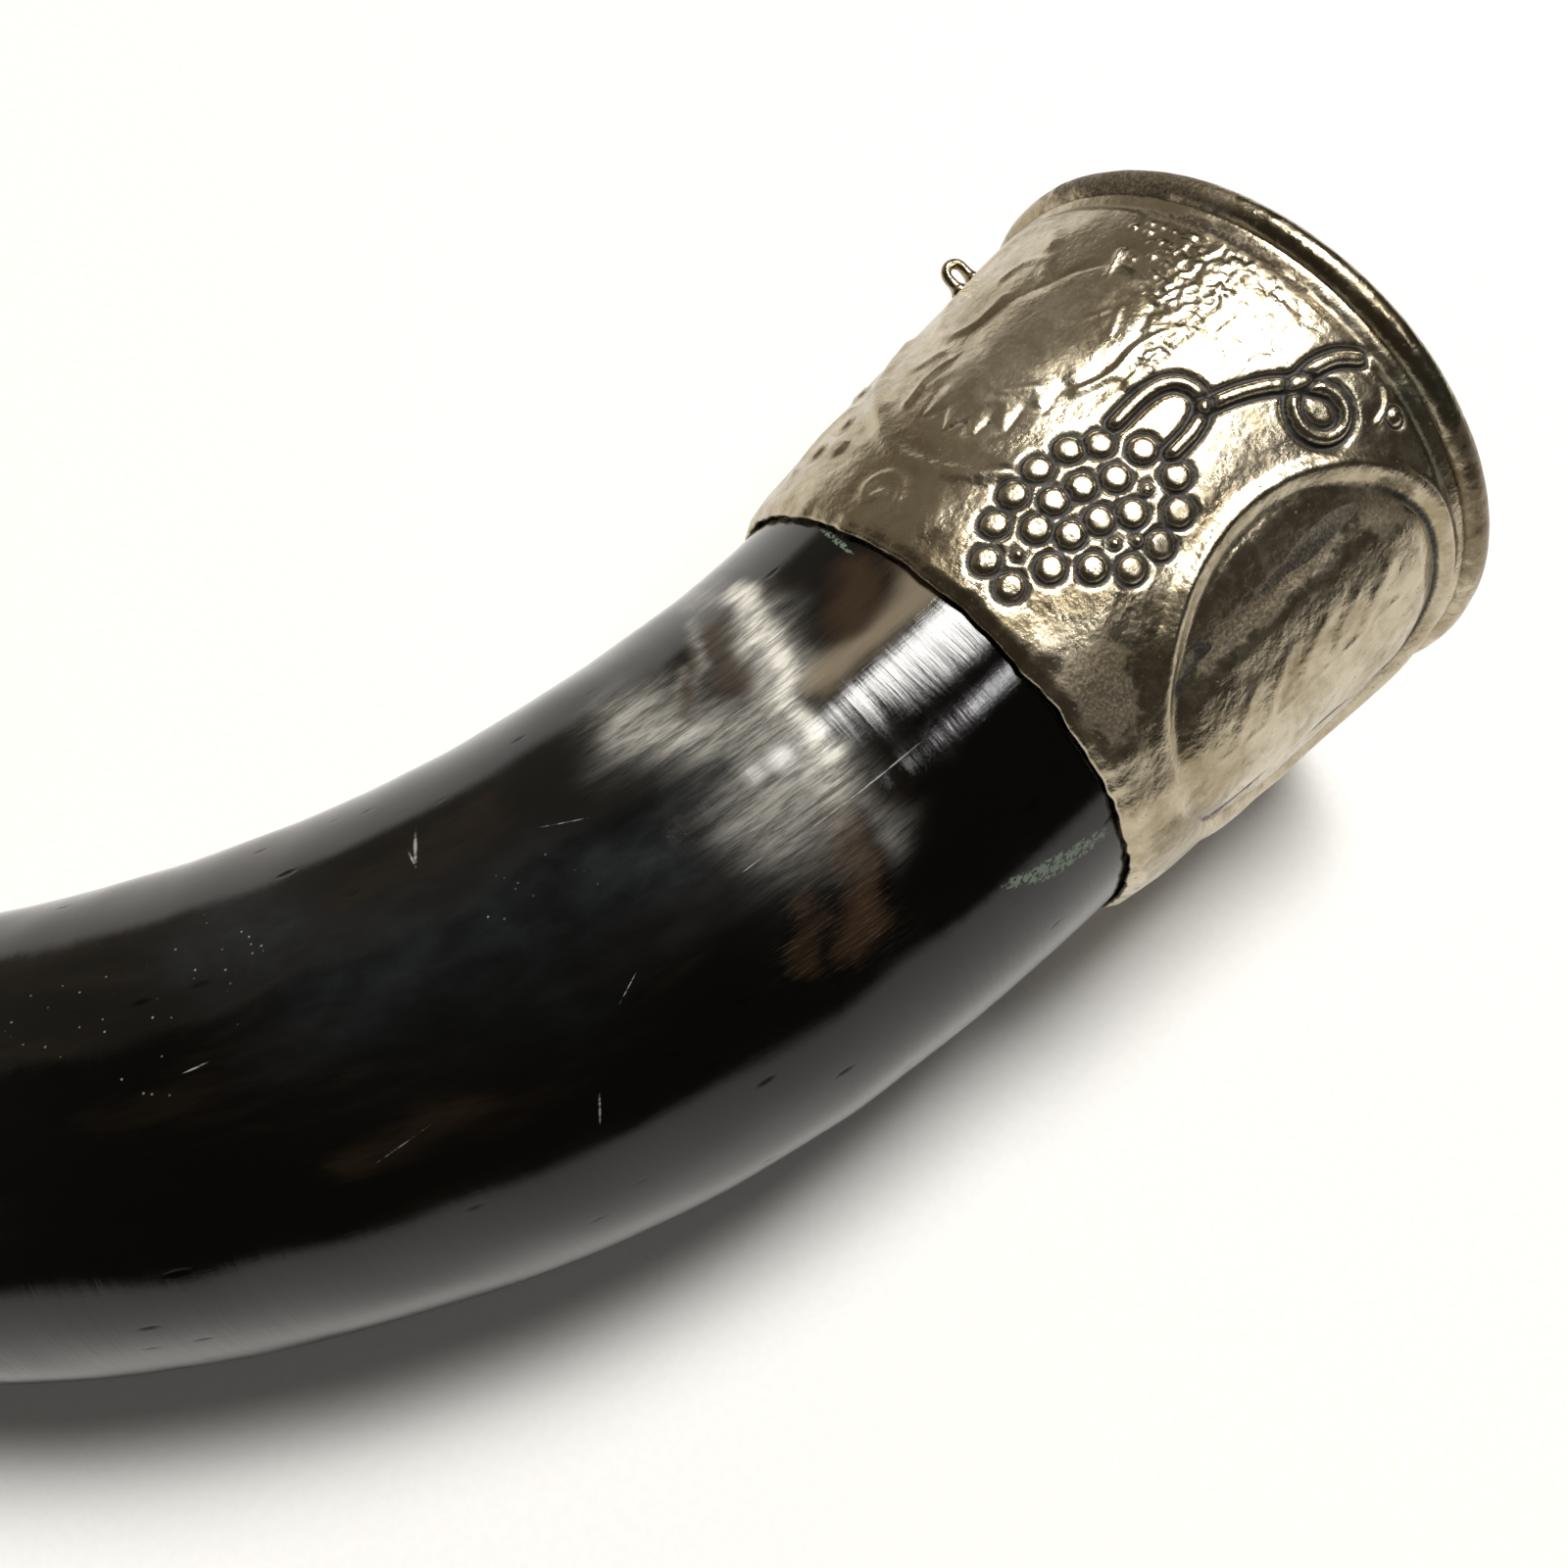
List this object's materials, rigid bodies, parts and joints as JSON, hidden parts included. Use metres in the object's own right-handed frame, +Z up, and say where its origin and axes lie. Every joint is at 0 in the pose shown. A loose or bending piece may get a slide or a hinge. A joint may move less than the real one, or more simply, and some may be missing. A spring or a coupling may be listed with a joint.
{
  "type": "shofar",
  "caption": "Curved animal horn bored from bell to mouthpiece, with an embossed metal collar and rolled rim on the bell, a narrow ferrule on the neck and a wire eyelet on each fitting.",
  "frame": {"origin": "on the table, under the middle of the resting horn's box", "axes": "+Z up from the table the horn lies on; the bell opens towards +X; the neck bends away towards +Y, which is the longest side"},
  "size_m": [0.2076, 0.2226, 0.0658],
  "materials": {
    "horn": "polished natural horn, near black with brown and grey fibres",
    "silver": "embossed sheet silver, worn bright on the high places and tarnished in the low ones",
    "silver_wire": "drawn silver wire, handled bright",
    "pitch": "dull black setting pitch"
  },
  "bodies": {
    "root": {"horn_body": "horn", "collar_sleeve": "silver", "collar_cement": "pitch", "rim_tube": "silver", "bell_eyelet": "silver_wire", "neck_ferrule": "silver", "ferrule_wire_bell_side": "silver_wire", "ferrule_wire_mouth_side": "silver_wire", "ferrule_eyelet": "silver_wire"}
  },
  "joints": []
}
